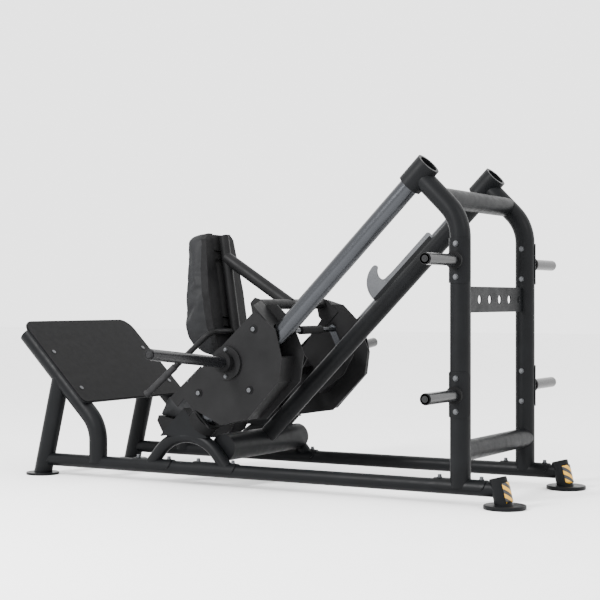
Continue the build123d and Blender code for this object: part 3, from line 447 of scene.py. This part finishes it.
UPHOLSTERY = MATS["upholstery"]
back_pad = rounded_form("back_pad_cover", "back_cushion", 0.006, 0.003, 14)
for v in back_pad.data.vertices:
    depth = back_depth(v.co)
    if depth < 0.085:
        v.co -= BACK_FORWARD * (0.085 - depth) * 0.78
inflate(back_pad, 4.0, 0.012)
for v in back_pad.data.vertices:
    floor_depth = 0.036 if abs(v.co.y) < CHANNEL_HALF + 0.004 else 0.003
    depth = back_depth(v.co)
    if depth < floor_depth:
        v.co += BACK_FORWARD * (floor_depth - depth)
finish_pad(back_pad, UPHOLSTERY)
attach(back_pad, "sled")
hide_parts("back_cushion")

seat = rounded_form("seat_pad_cover", "seat_pad", 0.006, 0.003, 12)
inflate(seat, 4.0, 0.012)
tray_top = [(-0.642, 0.304), (-0.410, 0.262)]


def above_tray(point):
    (x0, z0), (x1, z1) = tray_top
    return point.z - (z0 + (z1 - z0) * (point.x - x0) / (x1 - x0))


for v in seat.data.vertices:
    sunk = above_tray(v.co)
    if sunk < 0.001:
        v.co.z += 0.001 - sunk
finish_pad(seat, UPHOLSTERY)
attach(seat, "sled")
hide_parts("seat_pad")

shell_mesh = NODES["back_shell"].data.copy()
shell_mesh.materials.clear()
shell_mesh.materials.append(MATS["black_plastic"])
shell = link(bpy.data.objects.new("back_pan", shell_mesh))
middle = BACK_ORIGIN + BACK_UP * 0.18
for v in shell_mesh.vertices:
    offset = v.co - middle
    up, depth = offset.dot(BACK_UP), back_depth(v.co)
    squeeze = 0.93 if abs(v.co.y) > CHANNEL_HALF + 0.002 else 1.0
    v.co = middle + BACK_UP * up * 0.965 + Vector((0, v.co.y * squeeze, 0)) + BACK_FORWARD * depth
bevel = shell.modifiers.new("round", "BEVEL")
bevel.width = 0.006
bevel.segments = 3
bevel.limit_method = "ANGLE"
bevel.angle_limit = math.radians(35)
apply_modifiers(shell)
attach(shell, "sled")
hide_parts("back_shell")


# ---------------------------------------------------------------- small fittings
SIDES = ((-1, "near"), (1, "far"))
HORN_ROOT_Y = 0.434
HORN_END_Y = 1.042
PEG_X = 1.05
PEG_END_Y = 0.727


def end_cap(name, place, out, rim, body):
    """Pressed cap with a recessed ring and a centre bolt, in the end of a bar."""
    profile = [(0.0, rim), (0.001, rim), (0.001, 0.014), (-0.003, 0.013), (-0.003, 0.0085),
               (0.002, 0.008), (0.002, 0.0045), (-0.001, 0.004)]
    cap = lathe(name, place, out, profile, dark_steel)
    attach(cap, body)


for side, tag in SIDES:
    out = Vector((0.0, side * math.cos(HORN_TILT), math.sin(HORN_TILT)))
    root = Vector((-0.082, side * HORN_ROOT_Y, 0.581))
    length = (HORN_END_Y - HORN_ROOT_Y) / math.cos(HORN_TILT)
    end_cap(f"horn_cap_{tag}", root + out * (length - 0.001), out, 0.0205, "sled")
    for height in PEG_HEIGHTS:
        end_cap(f"peg_cap_{tag}_{round(height * 1000)}", (PEG_X, side * PEG_END_Y, height),
                Vector((0.0, side, 0.0)), 0.0215, "frame")

grip_rubber = rubbery("handle grip rubber", (0.012, 0.012, 0.0125), 0.60, 420.0, 0.0006)
for side, tag in SIDES:
    start = Vector((-0.319, side * 0.212, 0.717))
    end = Vector((-0.650, side * 0.270, 0.410))
    down = (end - start).normalized()
    length = (end - start).length
    sleeve = [(0.0, 0.0138), (0.002, 0.0172)]
    for k in range(24):
        at = 0.006 + k * 0.0078
        sleeve += [(at, 0.0172), (at + 0.0025, 0.0166), (at + 0.0050, 0.0172)]
    sleeve += [(0.196, 0.0178), (0.199, 0.0205), (0.205, 0.0205), (0.2075, 0.018), (0.2075, 0.004)]
    grip = lathe(f"handle_grip_{tag}", start + down * (length - 0.204), down, sleeve, grip_rubber)
    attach(grip, "sled")


def hazard_stripes(name):
    """Yellow and black warning tape, slanted bands with scuffs."""
    mat, tree, shader = new_material(name)
    at = coords(tree, (1.0, 1.0, 1.0))
    split = node(tree, "ShaderNodeSeparateXYZ")
    tree.links.new(at, split.inputs[0])
    climb = node(tree, "ShaderNodeMath", operation="MULTIPLY_ADD")
    climb.inputs[1].default_value = 0.75
    tree.links.new(split.outputs["Y"], climb.inputs[0])
    tree.links.new(split.outputs["Z"], climb.inputs[2])
    wave = node(tree, "ShaderNodeMath", operation="MULTIPLY")
    wave.inputs[1].default_value = 2 * math.pi / 0.036
    tree.links.new(climb.outputs[0], wave.inputs[0])
    sine = node(tree, "ShaderNodeMath", operation="SINE")
    tree.links.new(wave.outputs[0], sine.inputs[0])
    bands = ramp(tree, sine.outputs[0], [(0.0, (0.004, 0.004, 0.004)), (0.06, (0.46, 0.235, 0.003))])
    scuff = ramp(tree, noise_tex(tree, at, 140.0, 4.0), [(0.62, 0.0), (0.74, 0.55)])
    tree.links.new(blend_colours(tree, scuff, bands, (0.10, 0.09, 0.07)), shader.inputs["Base Color"])
    tree.links.new(ramp(tree, noise_tex(tree, at, 60.0, 3.0), [(0.3, 0.38), (0.7, 0.52)]),
                   shader.inputs["Roughness"])
    return mat


tape = hazard_stripes("warning tape")
STUB_LEAN = math.radians(14)
for side, tag in SIDES:
    axis = Vector((-math.sin(STUB_LEAN), 0.0, math.cos(STUB_LEAN)))
    foot = Vector((1.250, side * 0.373, 0.018))
    square = Vector((math.cos(STUB_LEAN), 0.0, math.sin(STUB_LEAN)))
    bm = bmesh.new()
    rows = []
    for level in range(9):
        row = []
        for step in range(17):
            turn = math.radians(-62 + 124 * step / 16 - side * 6)
            reach = square * math.cos(turn) + ACROSS * math.sin(turn)
            row.append(bm.verts.new(foot + axis * (0.006 + 0.084 * level / 8) + reach * 0.0386))
        rows.append(row)
    for low_row, high_row in zip(rows, rows[1:]):
        for k in range(16):
            bm.faces.new((low_row[k], low_row[k + 1], high_row[k + 1], high_row[k]))
    strip = from_bmesh(f"warning_tape_{tag}", bm, tape)
    thick = strip.modifiers.new("film", "SOLIDIFY")
    thick.thickness = 0.0005
    thick.offset = -1.0
    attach(strip, "frame")

# ---------------------------------------------------------------- stage, light and camera
def stage_material(name, colour):
    mat, tree, shader = new_material(name)
    at = coords(tree)
    shaded = tuple(c * 0.985 for c in colour)
    tree.links.new(ramp(tree, noise_tex(tree, at, 3.0, 2.0), [(0.3, colour), (0.7, shaded)]),
                   shader.inputs["Base Color"])
    shader.inputs["Roughness"].default_value = 0.9
    return mat


bpy.ops.mesh.primitive_plane_add(size=60.0, location=(0.0, 0.0, 0.0))
floor = bpy.context.object
floor.name = "floor"
floor.data.materials.append(stage_material("pale floor", (0.93, 0.93, 0.93)))

world = bpy.data.worlds.new("studio")
bpy.context.scene.world = world
world.use_nodes = True
world.node_tree.nodes["Background"].inputs["Color"].default_value = (1.0, 1.0, 1.0, 1.0)
world.node_tree.nodes["Background"].inputs["Strength"].default_value = 2.9


def softbox(name, place, aim, size, power):
    data = bpy.data.lights.new(name, "AREA")
    data.shape = "RECTANGLE"
    data.size, data.size_y = size
    data.energy = power
    lamp = bpy.data.objects.new(name, data)
    bpy.context.scene.collection.objects.link(lamp)
    lamp.location = place
    lamp.rotation_euler = (Vector(aim) - Vector(place)).to_track_quat("-Z", "Y").to_euler()


softbox("key", (-1.2, -4.6, 3.6), (0.2, 0.0, 0.8), (0.8, 2.2), 560.0)
softbox("side", (5.5, -1.5, 4.0), (0.2, 0.0, 0.7), (0.8, 2.6), 110.0)

camera_data = bpy.data.cameras.new("camera")
camera_data.sensor_width = 36.0
camera_data.lens = 87.70
camera = bpy.data.objects.new("camera", camera_data)
bpy.context.scene.collection.objects.link(camera)
camera.location = (3.545, -6.060, 0.869)
camera.rotation_euler = (math.radians(90), 0.0, math.radians(29.953))
bpy.context.scene.camera = camera
